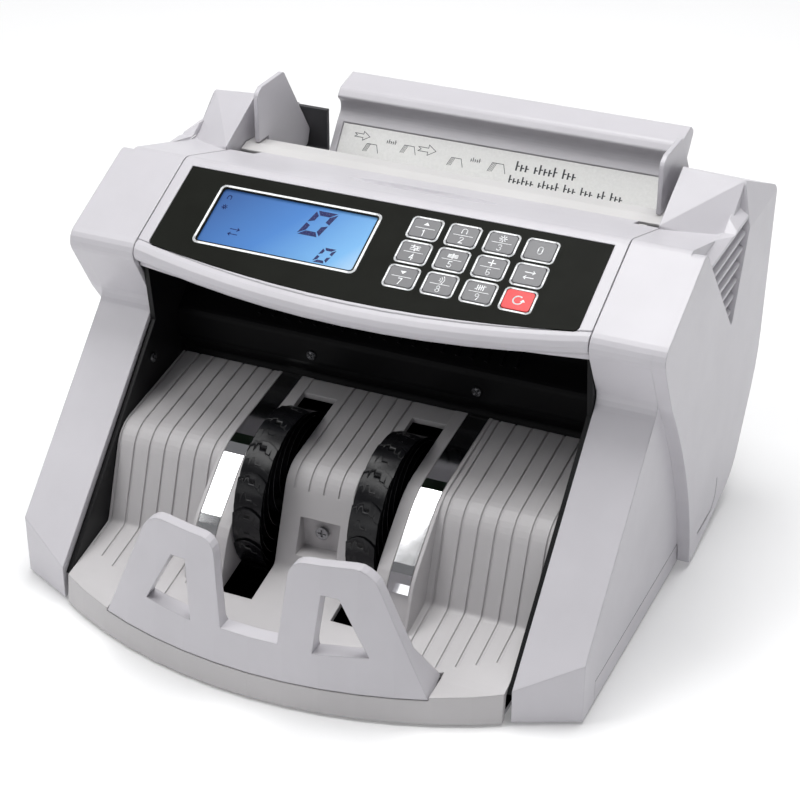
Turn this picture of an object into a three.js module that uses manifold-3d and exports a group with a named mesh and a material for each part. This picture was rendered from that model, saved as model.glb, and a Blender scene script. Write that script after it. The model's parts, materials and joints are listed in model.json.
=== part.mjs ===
// A desktop banknote counting machine: notes go into the hopper at the top rear, rollers feed them
// down and forwards, and two bladed impeller wheels stack them on the ribbed deck at the front.
// Millimetres, +Z up, the front faces -Y, X is centred, z = 0 is the surface the feet stand on.

import * as THREE from 'three';
import { ConvexGeometry } from 'three/addons/geometries/ConvexGeometry.js';
import { mergeVertices } from 'three/addons/utils/BufferGeometryUtils.js';
import Module from 'manifold-3d';

const wasm = await Module();
wasm.setup();

// ---------------------------------------------------------------- driving dimensions

const GAP = 0.3; // between neighbouring pieces
const WALL = 2.5; // moulded plastic shells
const BOTTOM = 1.5; // underside of the case above the table
const HALF_WIDTH = 140; // outermost face of the side covers
const CHEEK_SIDE = 134; // recessed side face below and behind the wing
const COVER_INNER = 107.3; // inner edge of a side cover
const HEAD_SIDE = 106.8; // side face of the control head
const DECK_SIDE = 104.2; // side edge of the stacker deck
const PLATE_X = [104.5, 106.9]; // side frame plates

const PANEL_TOP = { y: 0.5, z: 163.8 }; // top edge of the key panel
const PANEL_TILT = THREE.MathUtils.degToRad(25.15);
const CREST = { y: 5, z: 165.9 }; // where the head turns over to its rear slope
const HEAD_REAR = { y: 55.7, z: 150.4 };
const NOSE_RADIUS = 5;
const NOSE_FRONT = -56.4; // foremost line of the bowed nose, at x = 0
const NOSE_BOW = 10.2; // how far the nose falls back at its ends
const WAIST = { y: -30.5, z: 108.2 }; // crease between the head and the cheeks
const CHEEK_OFFSET = WAIST.z - WAIST.y; // the cheek face is the 45 degree plane z = y + this

const LIP = { y: 64, r: 215, lean: 0.12 }; // the bow-shaped front lip is a cone about this line
const TOE = { inner: [107.3, -121.5], outer: [134, -109] }; // front face of a cheek's foot, in plan

const SLOT_X = [19, 35.5]; // impeller slots, on both sides
const SLOT_Y = [-109, -22.5];
const STRIP_X = [41.6, 51.4];
const RIDGE_X = [SLOT_X[1], 53.4]; // raised runner that carries the bright strip
const GROOVE = { width: 1.0, depth: 0.6, pitch: 7.7, first: 56.8, count: 7, centrePitch: 7.2 };

const IMPELLER = { y: -59, z: 43, r: 38.3, hub: 11, x: 27.25, width: 13.4, blades: 12 };
const MOTOR = { y: 7, z: 35, r: 22, pulley: 8 };
const DRUM = { y: 80, z: 62, r: 19, pulley: 12 };
const PICKUP = { y: 98.3, z: 91.2, r: 9, pulley: 8 };
const IMPELLER_PULLEY = 14;
const SHAFT_R = 3;
const STACKER_BELT_X = [110.4, 113.4];
const DRIVE_BELT_X = [114.4, 117.4];
const PICKUP_BELT_X = [-113.4, -110.4];

const GUIDE = { x: 101, thick: 2.2 };
const RAIL = { y: 60.2, z: 143, r: 2.2 };

const KEY = { width: 12.5, height: 10.2, pitchX: 17.73, pitchY: 13.85, firstX: 18.4, firstY: -10.3 };
const KEY_NAMES = [
  ['key_1', 'key_2', 'key_3', 'key_0'],
  ['key_4', 'key_5', 'key_6', 'key_mode'],
  ['key_7', 'key_8', 'key_9', 'key_restart'],
];
const LCD = { x: [-80.4, -4.4], y: [-39.9, -8.6] }; // window in the panel

const REAR_PANEL_Y = 112.5; // outer face of the upright rear panel
const HOOD_HALF = 89.6;
const PLATE_TOP = { y: 127.5, z: 141.6 }; // top of the sloping hopper plate
const PLATE_SLOPE = THREE.MathUtils.degToRad(52.3);

// ---------------------------------------------------------------- materials

function material(colour, roughness, metalness = 0) {
  return new THREE.MeshStandardMaterial({ color: colour, roughness, metalness });
}

const CASE = material(0xd4d2d6, 0.45);
const DECK = material(0xc6c4c3, 0.5);
const DARK = material(0x3c3c3e, 0.5);
const BLACK = material(0x121213, 0.35);
const PANEL = material(0x1e1f1c, 0.2);
const KEY_GREY = material(0x6b6b6e, 0.4);
const KEY_RED = material(0xdd2222, 0.4);
const GLASS = material(0x4f86c6, 0.15);
const CHROME = material(0xdddddd, 0.06, 1);
const STEEL = material(0x9a9ca0, 0.3, 1);
const RUBBER = material(0x1a1a1a, 0.8);
const PAPER = material(0xf1f1ee, 0.6);
const BOARD = material(0x1d5a34, 0.5);
const COPPER = material(0xb87333, 0.35, 1);

// ---------------------------------------------------------------- solids and booleans

function solid(geometry) {
  const bare = geometry.clone();
  bare.deleteAttribute('normal');
  bare.deleteAttribute('uv');
  const merged = mergeVertices(bare, 1e-4);
  return new wasm.Manifold(new wasm.Mesh({
    numProp: 3,
    vertProperties: new Float32Array(merged.attributes.position.array),
    triVerts: new Uint32Array(merged.index.array),
  }));
}

function geometryOf(manifold) {
  const mesh = manifold.getMesh();
  const geometry = new THREE.BufferGeometry();
  geometry.setAttribute('position', new THREE.BufferAttribute(new Float32Array(mesh.vertProperties), 3));
  geometry.setIndex(new THREE.BufferAttribute(new Uint32Array(mesh.triVerts), 1));
  return geometry;
}

function joined(...solids) {
  return solids.reduce((sum, one) => sum.add(one));
}

// The same solid on the other side of the machine's centre plane.
function mirrored(manifold) {
  const geometry = geometryOf(manifold);
  geometry.scale(-1, 1, 1);
  const index = geometry.index.array;
  for (let i = 0; i < index.length; i += 3) {
    [index[i], index[i + 1]] = [index[i + 1], index[i]];
  }
  return solid(geometry);
}

function bothSides(manifold) {
  return manifold.add(mirrored(manifold));
}

// ---------------------------------------------------------------- outlines

// Corners are [a, b] or [a, b, radius]; a corner with a radius becomes an arc.
function outline(corners, closed = true) {
  const points = [];
  const last = corners.length - 1;
  corners.forEach(([a, b, radius = 0], i) => {
    const here = new THREE.Vector2(a, b);
    if (radius === 0 || (!closed && (i === 0 || i === last))) {
      points.push(here);
      return;
    }
    const before = new THREE.Vector2(...corners[(i + last) % (last + 1)].slice(0, 2)).sub(here);
    const after = new THREE.Vector2(...corners[(i + 1) % (last + 1)].slice(0, 2)).sub(here);
    before.normalize();
    after.normalize();
    const half = Math.acos(THREE.MathUtils.clamp(before.dot(after), -1, 1)) / 2;
    const turn = Math.PI - 2 * half;
    const middle = before.clone().add(after).normalize();
    const centre = here.clone().addScaledVector(middle, radius / Math.sin(half));
    const start = here.clone().addScaledVector(before, radius / Math.tan(half)).sub(centre);
    const side = Math.sign(before.cross(after)) || 1;
    const finest = radius < 3 ? 0.8 : 0.4;
    const steps = Math.max(2, Math.ceil(turn / (radius < 10 ? finest : 0.2)));
    for (let k = 0; k <= steps; k += 1) {
      const angle = -side * turn * (k / steps);
      points.push(start.clone().rotateAround(new THREE.Vector2(), angle).add(centre));
    }
  });
  return points;
}

// An open path moved sideways by a distance, to the left of its direction when positive.
function offsetPath(path, distance) {
  return path.map((point, i) => {
    const before = path[Math.max(i - 1, 0)];
    const after = path[Math.min(i + 1, path.length - 1)];
    const into = point.clone().sub(before).normalize();
    const out = after.clone().sub(point).normalize();
    const along = into.add(out).normalize();
    const step = new THREE.Vector2(-along.y, along.x);
    const edge = after === point ? point.clone().sub(before) : after.clone().sub(point);
    const edgeNormal = new THREE.Vector2(-edge.y, edge.x).normalize();
    return point.clone().addScaledVector(step, distance / Math.max(step.dot(edgeNormal), 0.4));
  });
}

function sheet(path, thickness) {
  return [...path, ...offsetPath(path, thickness).reverse()];
}

// ---------------------------------------------------------------- basic pieces

const ALONG_X = new THREE.Matrix4().makeBasis(
  new THREE.Vector3(0, 1, 0), new THREE.Vector3(0, 0, 1), new THREE.Vector3(1, 0, 0));
const ALONG_Y = new THREE.Matrix4().makeBasis(
  new THREE.Vector3(-1, 0, 0), new THREE.Vector3(0, 0, 1), new THREE.Vector3(0, 1, 0));

function prism(points, depth, holes = []) {
  const shape = new THREE.Shape(points);
  holes.forEach((hole) => shape.holes.push(new THREE.Path(hole)));
  return new THREE.ExtrudeGeometry(shape, { depth, bevelEnabled: false, steps: 1 });
}

// An outline in (y, z) running along X from x0 to x1.
function prismX(points, x0, x1, holes = []) {
  return solid(prism(points, x1 - x0, holes).applyMatrix4(ALONG_X).translate(x0, 0, 0));
}

// An outline in (x, z) running along Y from y0 to y1.
function prismY(points, y0, y1) {
  const flipped = points.map((point) => new THREE.Vector2(-point.x, point.y)).reverse();
  return solid(prism(flipped, y1 - y0).applyMatrix4(ALONG_Y).translate(0, y0, 0));
}

// An outline in (x, y) running up from z0 to z1.
function prismZ(points, z0, z1) {
  return solid(prism(points, z1 - z0).translate(0, 0, z0));
}

function box([x0, x1], [y0, y1], [z0, z1]) {
  const geometry = new THREE.BoxGeometry(x1 - x0, y1 - y0, z1 - z0);
  return solid(geometry.translate((x0 + x1) / 2, (y0 + y1) / 2, (z0 + z1) / 2));
}

// A cylinder along X between x0 and x1, about the line (y, z).
function rodX(x0, x1, y, z, radius, sides = 16) {
  const geometry = new THREE.CylinderGeometry(radius, radius, x1 - x0, sides);
  return solid(geometry.rotateZ(Math.PI / 2).translate((x0 + x1) / 2, y, z));
}

function rodZ(x, y, [z0, z1], radius, sides = 24) {
  const geometry = new THREE.CylinderGeometry(radius, radius, z1 - z0, sides);
  return solid(geometry.rotateX(Math.PI / 2).translate(x, y, (z0 + z1) / 2));
}

// A ring about the upright line x = 0, y = LIP.y, from a closed (radius, z) profile.
function bowRing(profile) {
  const closed = [...profile, profile[0]].map(([r, z]) => new THREE.Vector2(r, z));
  return solid(new THREE.LatheGeometry(closed, 84).rotateX(Math.PI / 2).translate(0, LIP.y, 0));
}

// ---------------------------------------------------------------- the assembly

const machine = new THREE.Group();

function place(name, manifold, surface, parent = machine) {
  const tidy = manifold.asOriginal().simplify(0.02);
  const mesh = new THREE.Mesh(geometryOf(tidy), surface);
  mesh.name = name;
  parent.add(mesh);
  return mesh;
}

// ---------------------------------------------------------------- side covers

// Rear edge and underside that the covers share, from the top rear corner downwards.
const REAR_CONTOUR = [[120.4, 150.2, 2], [114.5, 62, 60], [84, 14, 30]];
const NOSE_CORNER = [-48.3, 141.1, 7];

function coverBody() {
  const profile = outline([
    NOSE_CORNER, [WAIST.y, WAIST.z, 7], [BOTTOM - CHEEK_OFFSET, BOTTOM], [-95, BOTTOM], [-95, 12.3],
    [64, 12.3], ...[...REAR_CONTOUR].reverse(), [56, HEAD_REAR.z], [CREST.y, CREST.z, 6],
  ]);
  return prismX(profile, COVER_INNER, CHEEK_SIDE);
}

function coverHollow() {
  const inner = WALL * Math.SQRT2;
  const profile = outline([
    [-44.7, 139.6, 4], [WAIST.y + 2.9, WAIST.z, 8], [-116, WAIST.z - 88.4 - inner], [-116, -5],
    [70, -5], [70, 12], [81.6, 16, 28], [112, 63, 58], [117.8, 147.6], [56, HEAD_REAR.z - 2.7],
    [CREST.y, CREST.z - 2.8, 4],
  ]);
  const innerWall = box([100, COVER_INNER + WALL], [40, 125], [98, 180]);
  return prismX(profile, COVER_INNER - 3, CHEEK_SIDE - WALL).subtract(innerWall);
}

// The wing is the shield-shaped outer skin with the notch of the side louvres in its top edge.
const LOUVRE = { front: [CREST.y, CREST.z], tip: [57, 106.3], rear: [82, 166.6] };

// The wing leans inwards above its shoulder line, behind the notch.
function leanCut(inset) {
  const points = [[134.3, 166.8], [140.5, 146], [160, 146], [160, 190], [134.3, 190]];
  return prismY(points.map(([x, z]) => new THREE.Vector2(x - inset, z)), 60 - inset, 130);
}

function wingOutline(inset) {
  const lower = new THREE.QuadraticBezierCurve(
    new THREE.Vector2(17.5 + inset, 4 + inset),
    new THREE.Vector2(13 + inset, 50),
    new THREE.Vector2(-31 + inset, 110),
  ).getPoints(8);
  const rest = outline([
    [-31 + inset, 110], [NOSE_CORNER[0] + 1.4 * inset, NOSE_CORNER[1] - 0.5 * inset, 7 - inset],
    [LOUVRE.front[0] - 0.2 * inset, LOUVRE.front[1] - 1.3 * inset, 5],
    [LOUVRE.tip[0] - 0.2 * inset, LOUVRE.tip[1] - 2.2 * inset, 1.5],
    [LOUVRE.rear[0] + 0.8 * inset, LOUVRE.rear[1] - 1.6 * inset, 2],
    [120.4 - inset, 150.2 - inset, 3], [114.5 - inset, 62, 60], [84 - 0.6 * inset, 14 + inset, 30],
    [26.8, 3 + inset, 2], [17.5 + inset, 3 + inset],
  ]).slice(1);
  return [...lower, ...rest].reverse();
}

// Sloping shoulder beside the hopper: its ridge drops towards the outside.
function shoulder(drop, x0, x1) {
  const points = [
    [x0, 41, 140], [x1, 52, 140], [x0, 120.2, 140], [x1, 120.2, 140],
    [x0, 43 + drop, 155.9 - drop], [x0, 74.6, 171.5 - drop], [x1, 83, 166.2 - drop],
    [x1, 56 + drop, 147.3 - drop], [x0, 120.2 - drop, 150.2 - drop], [x1, 120.2 - drop, 150.2 - drop],
  ];
  return solid(new ConvexGeometry(points.map((point) => new THREE.Vector3(...point))));
}

// Horizontal slats in the triangular recess.
function louvreSlats() {
  const recess = outline([
    [LOUVRE.front[0] + 5.5, LOUVRE.front[1] - 4], [LOUVRE.tip[0], LOUVRE.tip[1] + 2.5], LOUVRE.rear,
    [56, 152],
  ].reverse());
  const slats = [];
  for (let i = 0; i < 7; i += 1) {
    const z = 112 + i * 6.6;
    const section = [[CHEEK_SIDE - 1, z], [138.6, z], [138.6, z + 1.2], [CHEEK_SIDE - 1, z + 4.4]];
    slats.push(prismY(section.map(([x, h]) => new THREE.Vector2(x, h)), 5, 90));
  }
  return joined(...slats).intersect(prismX(recess, CHEEK_SIDE - 2, HALF_WIDTH));
}

// Crescent finger mark near the wing's lower rear edge.
function crescent() {
  const arc = outline([[55.2, 27], [55, 13.4, 9], [28, 13.2]], false);
  return prismX(sheet(arc, 1.3), HALF_WIDTH - 0.8, HALF_WIDTH + 1);
}

function sideCover() {
  const wing = prismX(wingOutline(0), CHEEK_SIDE - 3, HALF_WIDTH);
  const wingHollow = prismX(wingOutline(WALL), CHEEK_SIDE - 8, HALF_WIDTH - WALL).subtract(leanCut(WALL));
  const inFront = (back) => prismZ([
    [TOE.inner[0] - 20, TOE.inner[1] - 9.4 + back], [TOE.inner[0], TOE.inner[1] + back],
    [TOE.outer[0], TOE.outer[1] + back], [146, -103.4 + back], [146, -150], [TOE.inner[0] - 20, -150],
  ].map(([x, y]) => new THREE.Vector2(x, y)).reverse(), -5, 40);
  const toeCut = inFront(0);
  return coverBody()
    .add(shoulder(0, COVER_INNER, CHEEK_SIDE))
    .add(wing)
    .subtract(coverHollow().subtract(inFront(WALL)))
    .subtract(shoulder(WALL, COVER_INNER + WALL, CHEEK_SIDE - WALL))
    .subtract(wingHollow)
    .add(louvreSlats())
    .subtract(leanCut(0))
    .subtract(crescent())
    .subtract(box([100, CHEEK_SIDE + GAP], [-95, 66], [-5, 12.3]))
    .subtract(toeCut);
}

const rightCover = sideCover();
place('side_cover_right', rightCover, CASE);
place('side_cover_left', mirrored(rightCover), CASE);

// ---------------------------------------------------------------- base pan and feet

const FEET = { x: 90, y: [-80, 18], r: 8 };

function basePan() {
  const floorPath = outline([[-119, BOTTOM], [27, BOTTOM, 40], [62, 9.2]], false);
  const floor = prismX(sheet(floorPath, WALL), -CHEEK_SIDE, CHEEK_SIDE);
  const rimPath = [...floorPath, new THREE.Vector2(62, 12), new THREE.Vector2(-119, 12)];
  const rim = prismX(rimPath, CHEEK_SIDE - WALL, CHEEK_SIDE);
  const toeRoom = box([DECK_SIDE - 1, HALF_WIDTH], [-130, -95 + GAP], [0, 20]);
  let pan = joined(floor, bothSides(rim)).subtract(bothSides(toeRoom));
  FEET.y.forEach((y) => {
    const seat = rodZ(FEET.x, y, [0, BOTTOM + 1.3], FEET.r + GAP);
    pan = pan.subtract(bothSides(seat));
  });
  return pan;
}

place('base_pan', basePan(), CASE);
[['left', -1], ['right', 1]].forEach(([side, sign]) => {
  [['front', FEET.y[0]], ['rear', FEET.y[1]]].forEach(([end, y]) => {
    place(`foot_${end}_${side}`, rodZ(sign * FEET.x, y, [0, BOTTOM + 1], FEET.r), RUBBER);
  });
});

// ---------------------------------------------------------------- stacker deck

const DECK_REAR = -12;
// Ribbed surface: gentle slope, rounded shoulder, drop, then the floor out past the lip.
const DECK_TOP = outline([
  [DECK_REAR, 74.2], [-71.5, 64.6, 15], [-87, 23, 3], [-124, 14.8, 60], [-160, 12.2],
], false);
// Runner beside each impeller, which bulges forward of the ribbed surface.
const RUNNER_TOP = outline([
  [DECK_REAR, 74.5], [-68, 66.2, 32], [-98, 41, 26], [-107.6, 17],
], false);

function underDeckTop() {
  return [...DECK_TOP, new THREE.Vector2(-160, -5), new THREE.Vector2(DECK_REAR, -5)];
}

function lipCone(radius, z0, z1) {
  const rim = (z) => radius - LIP.lean * (z - BOTTOM);
  return bowRing([[60, z0], [rim(z0), z0], [rim(z1), z1], [60, z1]]);
}

function groove(x, path) {
  const cut = [...offsetPath(path, GROOVE.depth), ...offsetPath(path, -3).reverse()];
  return prismX(cut, x - GROOVE.width / 2, x + GROOVE.width / 2);
}

function grooves() {
  const cuts = [];
  for (let i = 0; i < GROOVE.count; i += 1) {
    const x = GROOVE.first + i * GROOVE.pitch;
    const end = LIP.y - Math.sqrt((LIP.r - 19) ** 2 - x * x);
    const path = DECK_TOP.filter((point) => point.y > 20 || point.x > -100);
    const slope = (14.8 - 23) / (-124 + 87);
    path.push(new THREE.Vector2(end, 23 + slope * (end + 87)));
    cuts.push(bothSides(groove(x, path)));
  }
  for (let i = -2; i <= 2; i += 1) {
    cuts.push(groove(i * GROOVE.centrePitch, DECK_TOP.filter((point) => point.y > 50)));
  }
  return joined(...cuts);
}

const STOP_HALF = 76;
const STOP_BACK = 199;

function deck() {
  const skin = prismX(sheet(DECK_TOP, WALL), -DECK_SIDE, DECK_SIDE);
  const lipHeight = 20;
  const lip = lipCone(LIP.r, BOTTOM, lipHeight)
    .subtract(lipCone(LIP.r - WALL, BOTTOM - 2, lipHeight + 2))
    .intersect(prismX(underDeckTop(), -DECK_SIDE, DECK_SIDE))
    .intersect(box([-DECK_SIDE, DECK_SIDE], [-160, -118], [0, 40]));
  const runnerUnder = offsetPath(DECK_TOP, WALL).filter((point) => point.x > -106);
  const runner = prismX([...RUNNER_TOP, ...runnerUnder.reverse()], ...RIDGE_X);
  const channel = prismX(sheet(offsetPath(RUNNER_TOP, -3), 4.1), STRIP_X[0] - GAP, STRIP_X[1] + GAP);
  const slot = box(SLOT_X, SLOT_Y, [8, 90]);
  const seat = bowRing([
    [STOP_BACK - GAP, 12.4], [LIP.r + 2, 12.4], [LIP.r + 2, 30], [STOP_BACK - GAP, 30],
  ]).intersect(box([-STOP_HALF - GAP, STOP_HALF + GAP], [-160, -110], [0, 40]));
  const pocketCup = box([-11.7, 11.7], [-84, -73], [26.8, 47.5]);
  const pocket = box([-9.7, 9.7], [-100, -75.5], [29, 45.3]);
  return skin
    .intersect(lipCone(LIP.r, -5, 90))
    .add(lip)
    .add(bothSides(runner))
    .add(pocketCup.intersect(prismX(underDeckTop(), -20, 20)))
    .subtract(pocket)
    .subtract(bothSides(channel))
    .subtract(bothSides(slot))
    .subtract(grooves())
    .subtract(seat);
}

place('stacker_deck', deck(), DECK);

function strip() {
  const top = offsetPath(RUNNER_TOP.slice(0, -1), 0.05);
  return prismX(sheet(top, 0.75), ...STRIP_X);
}

place('slide_strip_right', strip(), CHROME);
place('slide_strip_left', mirrored(strip()), CHROME);

// A crosshead screw, its head facing -Y.
function screw(x, y, z) {
  const head = new THREE.CylinderGeometry(2.6, 3.1, 2, 16).translate(x, y + 1, z);
  const cross = joined(
    box([x - 0.4, x + 0.4], [y - 1, y + 0.9], [z - 1.9, z + 1.9]),
    box([x - 1.9, x + 1.9], [y - 1, y + 0.9], [z - 0.4, z + 0.4]),
  );
  return solid(head).subtract(cross);
}

place('deck_screw', screw(0, -77.9, 38.4), STEEL);

// ---------------------------------------------------------------- note stop

// Two leaning A-shaped plates and the low wall that joins them, in one moulding.
function noteStop() {
  const foot = 12.8;
  const half = [
    [STOP_HALF, foot], [53.5, 65, 9], [47, 70.2, 8], [17.6, 69.2, 7], [13.3, 29.8],
  ];
  const full = outline([...half, ...half.map(([x, z, r]) => [-x, z, r]).reverse()]);
  const hole = outline([[31.4, 56.2], [38.8, 55.6], [52.2, 30.2], [28.4, 28.6]]);
  const rim = (z) => LIP.r - 1.6 - LIP.lean * (z - foot);
  const shell = bowRing([
    [STOP_BACK, 14.6], [207, foot], [rim(foot), foot], [rim(72), 72], [rim(72) - 5, 72],
    [rim(33) - 5.6, 33], [STOP_BACK + 0.4, 17],
  ]);
  return shell
    .intersect(prismY(full.reverse(), -160, -110))
    .subtract(bothSides(prismY(hole, -160, -110)));
}

place('note_stop', noteStop(), CASE);

// ---------------------------------------------------------------- inner frame

function shaftHoles(solidPlate, holes) {
  return holes.reduce((plate, [y, z, r]) => plate.subtract(rodX(90, 125, y, z, r + GAP)), solidPlate);
}

const SHAFT_HOLES = [
  [IMPELLER.y, IMPELLER.z, SHAFT_R], [MOTOR.y, MOTOR.z, SHAFT_R], [DRUM.y, DRUM.z, SHAFT_R],
  [PICKUP.y, PICKUP.z, SHAFT_R],
];

function framePlate() {
  const front = CHEEK_OFFSET - 5;
  const profile = outline([
    [14 - front, 14], [58, 14], [92, 40], [104, 60], [107, 80], [107, 96], [56, 96], [56, 129.5],
    [-38, 129.5], [100 - front - 1, 101],
  ]);
  return shaftHoles(prismX(profile, ...PLATE_X), SHAFT_HOLES);
}

place('frame_plate_right', framePlate(), BLACK);
place('frame_plate_left', mirrored(framePlate()), BLACK);

const BULKHEAD_Y = -19.6;

// Black cross wall that closes the stacker pocket at the back: a rounded nose above the deck, and a
// bulkhead below it that parts the impellers from the motor and the transformer.
function feedHousing() {
  const profile = outline([
    [BULKHEAD_Y, 5], [BULKHEAD_Y + 2, 5], [BULKHEAD_Y + 2, 60], [14, 60], [14, 128.5], [2, 128.5],
    [-3, 108, 12], [-15, 98, 5], [-15, 84, 5], [DECK_REAR + 1.5, 77, 2], [DECK_REAR + 0.4, 74],
    [DECK_REAR + 0.4, 62], [BULKHEAD_Y, 62],
  ]);
  const inside = outline([
    [DECK_REAR + 3, 62.5], [11.5, 62.5], [11.5, 140], [5, 140], [0, 107, 10], [-12, 96, 3], [-12, 85, 3],
    [DECK_REAR + 3, 75],
  ]);
  let housing = prismX(profile, -DECK_SIDE, DECK_SIDE);
  housing = housing.subtract(prismX(inside, -DECK_SIDE + 3, DECK_SIDE - 3));
  const rib = outline([
    [-12.1, 103], [-10, 100.6], [-1.9, 108], [2, 125.8], [-0.7, 125.8], [-4.8, 109.1, 12],
  ]);
  const ribs = [];
  for (let x = -63; x <= 63; x += 7) {
    ribs.push(prismX(rib, x - 0.6, x + 0.6));
  }
  return housing.add(joined(...ribs));
}

place('feed_housing', feedHousing(), BLACK);

// ---------------------------------------------------------------- control head

const PANEL_MATRIX = new THREE.Matrix4()
  .makeTranslation(0, PANEL_TOP.y, PANEL_TOP.z)
  .multiply(new THREE.Matrix4().makeRotationX(PANEL_TILT));

// Outlines on the tilted panel: x across, y up the slope from the panel's top edge, z out of it.
function onPanel(points, z0, z1) {
  return solid(prism(points, z1 - z0).translate(0, 0, z0).applyMatrix4(PANEL_MATRIX));
}

function roundedRect([x0, x1], [y0, y1], radius) {
  return outline([[x0, y0, radius], [x1, y0, radius], [x1, y1, radius], [x0, y1, radius]]);
}

function keyCentre(row, column) {
  return [KEY.firstX + column * KEY.pitchX, KEY.firstY - row * KEY.pitchY];
}

function keyOutline(row, column, grow) {
  const [x, y] = keyCentre(row, column);
  const w = KEY.width / 2 + grow;
  const h = KEY.height / 2 + grow;
  return roundedRect([x - w, x + w], [y - h, y + h], 1.3);
}

function forKeys(action) {
  KEY_NAMES.forEach((names, row) => names.forEach((name, column) => action(name, row, column)));
}

// The overlay's lower edge follows the bow of the nose.
function overlayOutline(grow) {
  const side = 101 + grow;
  const low = -47 - grow;
  const dip = 8.5;
  const bow = new THREE.QuadraticBezierCurve(
    new THREE.Vector2(-side + 3, low - 0.4),
    new THREE.Vector2(0, low - 2 * dip),
    new THREE.Vector2(side - 3, low - 0.4),
  ).getPoints(12);
  return [
    ...outline([[-side, grow, 2], [-side, low, 2.4], [-side + 3, low - 0.4]], false), ...bow,
    ...outline([[side - 3, low - 0.4], [side, low, 2.4], [side, grow, 2]], false),
  ];
}

function headCover() {
  const slope = Math.tan(PANEL_TILT);
  const floor = 131;
  const planeAt = (y) => PANEL_TOP.z + slope * (y - PANEL_TOP.y);
  const front = -60;
  const profile = (drop, rear) => outline([
    [front, floor - 3 * drop], [rear, floor - 3 * drop], [rear, HEAD_REAR.z + (55.7 - rear) * 0.3 - drop],
    [CREST.y, CREST.z - 1.1 * drop, 8], [front, planeAt(front) - 1.1 * drop],
  ]);
  const noseCentre = (x) => NOSE_FRONT + NOSE_RADIUS + NOSE_BOW * (x / DECK_SIDE) ** 2;
  const bowAt = (x, back) => new THREE.Vector2(x, noseCentre(x) + back);
  const bowPlan = (half, back) => {
    const edge = [];
    for (let i = 0; i <= 12; i += 1) {
      edge.push(bowAt(-half + (2 * half * i) / 12, back));
    }
    return [...edge, new THREE.Vector2(half, 80), new THREE.Vector2(-half, 80)];
  };
  const nosePath = [];
  for (let i = 0; i <= 12; i += 1) {
    const x = -110 + (220 * i) / 12;
    const y = noseCentre(x);
    nosePath.push(new THREE.Vector3(x, y, planeAt(y) - NOSE_RADIUS / Math.cos(PANEL_TILT)));
  }
  const round = new THREE.Shape().absarc(0, 0, NOSE_RADIUS, 0, 2 * Math.PI);
  const nose = solid(new THREE.ExtrudeGeometry(round, {
    steps: 12, bevelEnabled: false, curveSegments: 6, extrudePath: new THREE.CatmullRomCurve3(nosePath),
  })).intersect(box([-HEAD_SIDE, HEAD_SIDE], [-80, 0], [100, 170]));
  const shell = prismX(profile(0, HEAD_REAR.y), -HEAD_SIDE, HEAD_SIDE)
    .intersect(prismZ(bowPlan(HEAD_SIDE, 0), 100, 180))
    .subtract(prismX(profile(WALL, HEAD_REAR.y - WALL), -HEAD_SIDE + WALL, HEAD_SIDE - WALL)
      .intersect(prismZ(bowPlan(HEAD_SIDE - WALL, 1), 100, 180)));
  const scoop = (grow) => solid(new THREE.SphereGeometry(1, 28, 14)
    .scale(38 + grow, 7.5 + grow, 9 + grow).rotateX(-0.3).translate(0, 31, 160.6));
  const under = prismX(profile(0, HEAD_REAR.y - 0.5), -60, 60);
  let cover = shell.add(nose).add(scoop(2).intersect(under));
  cover = cover.subtract(onPanel(overlayOutline(GAP), -1.1, 5));
  const window = roundedRect([LCD.x[0] - 1.6, LCD.x[1] + 1.6], [LCD.y[0] - 1.6, LCD.y[1] + 1.6], 1);
  cover = cover.subtract(onPanel(window, -6, 1));
  forKeys((name, row, column) => {
    cover = cover.subtract(onPanel(keyOutline(row, column, GAP), -6, 1));
  });
  const notch = box([94.5, HEAD_SIDE + 1], [46.5, 60], [120, 160]);
  return cover.subtract(scoop(0)).subtract(bothSides(notch));
}

place('head_cover', headCover(), CASE);

function panelOverlay() {
  let overlay = onPanel(overlayOutline(0), -0.8, 0);
  overlay = overlay.subtract(onPanel(roundedRect(LCD.x, LCD.y, 1.4), -2, 1));
  forKeys((name, row, column) => {
    overlay = overlay.subtract(onPanel(keyOutline(row, column, 0.25), -2, 1));
  });
  return overlay;
}

place('panel_overlay', panelOverlay(), PANEL);
place('lcd_display', onPanel(roundedRect([LCD.x[0] - 1, LCD.x[1] + 1], [LCD.y[0] - 1, LCD.y[1] + 1], 0.8),
  -5, -1.15), GLASS);
place('keypad_board', onPanel(roundedRect([-96, 96], [-44, -2], 2), -8.2, -6.6), BOARD);

forKeys((name, row, column) => {
  const cap = onPanel(keyOutline(row, column, 0), -5.2, 0.25);
  place(name, cap, name === 'key_restart' ? KEY_RED : KEY_GREY);
});

// ---------------------------------------------------------------- hopper

// Pale lip behind the head, and the front wall of the note hopper below the guide slot.
function hopperLip() {
  const ends = outline([
    [56.3, 128], [69, 128], [69, 100], [71.5, 97], [71.5, 150.4, 1], [62, 151.4, 1.2], [56.3, 150],
  ]);
  const slotRoom = box([-105.6, 105.6], [50, 80], [136.5, 148.8]);
  const channel = outline([[50, 90], [68.9, 90], [68.9, 136], [68.9, 148.6], [60, 149], [50, 147]]);
  return prismX(ends, -HEAD_SIDE, HEAD_SIDE)
    .subtract(prismX(channel, -105.6, 105.6))
    .subtract(slotRoom);
}

place('hopper_lip', hopperLip(), PAPER);

function alongPlate(distance) {
  return [
    PLATE_TOP.y - distance * Math.cos(PLATE_SLOPE), PLATE_TOP.z - distance * Math.sin(PLATE_SLOPE),
  ];
}

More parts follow.
